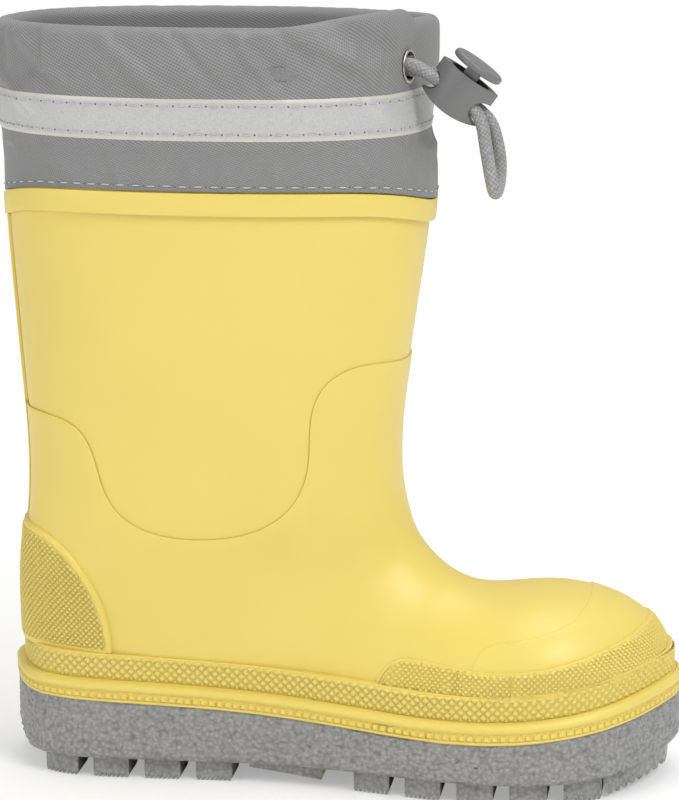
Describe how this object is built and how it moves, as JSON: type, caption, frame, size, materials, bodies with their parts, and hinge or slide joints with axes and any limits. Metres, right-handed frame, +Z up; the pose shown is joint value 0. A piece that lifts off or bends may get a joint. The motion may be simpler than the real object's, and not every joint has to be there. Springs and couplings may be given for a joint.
{
  "type": "rain boot",
  "caption": "Child's rubber rain boot with a grey fabric cuff, reflective band, drawcord with cord lock and a lugged sole.",
  "frame": {"origin": "on the ground, under the middle of the boot's box", "axes": "+X from heel to toe, +Y towards the inner side of the foot, +Z up"},
  "size_m": [0.2046, 0.0901, 0.226],
  "materials": {
    "yellow_rubber": "satin moulded rubber",
    "sole_rubber": "pebbled",
    "lining_cloth": "knitted",
    "insole_felt": "felt",
    "cuff_cloth": "coated woven nylon",
    "reflective_cloth": "retroreflective",
    "thread": "spun polyester",
    "eyelet_metal": "bright nickel",
    "cord": "braided polyester",
    "lock_plastic": "matte moulded",
    "spring_steel": "drawn wire"
  },
  "bodies": {
    "boot": {"upper": "yellow_rubber", "lining": "lining_cloth", "insole": "insole_felt", "ankle_overlay": "yellow_rubber", "toe_cap": "yellow_rubber", "toe_bumper": "yellow_rubber", "heel_counter": "yellow_rubber", "back_strip": "yellow_rubber", "collar_band": "yellow_rubber", "foxing_band": "yellow_rubber", "welt": "yellow_rubber", "outsole": "sole_rubber", "cuff": "cuff_cloth", "reflective_tape": "reflective_cloth", "tape_upper_stitch": "thread", "tape_lower_stitch": "thread", "cuff_hem_stitch": "thread", "eyelet": "eyelet_metal", "eyelet_washer": "eyelet_metal", "drawcord_hem": "cord"},
    "cord": {"drawcord_loop": "cord"},
    "lock": {"lock_body": "lock_plastic", "lock_spring": "spring_steel"},
    "button": {"lock_button": "lock_plastic"}
  },
  "joints": [
    {"name": "cord_swing", "type": "hinge", "parent": "boot", "child": "cord", "pos_m": [0.0212, -0.0109, 0.213], "axis": [0, 1, 0], "range_deg": [-50, 5], "deforming": ["drawcord_loop"]},
    {"name": "lock_slide", "type": "slide", "parent": "cord", "child": "lock", "axis": [0.809, 0, -0.5878], "range_m": [-0.001, 0.008]},
    {"name": "button_press", "type": "slide", "parent": "lock", "child": "button", "axis": [-0.5878, 0, -0.809], "range_m": [0, 0.0015], "stiffness_N_per_m": 1500, "springref_m": -0.002, "deforming": ["lock_spring"]}
  ]
}
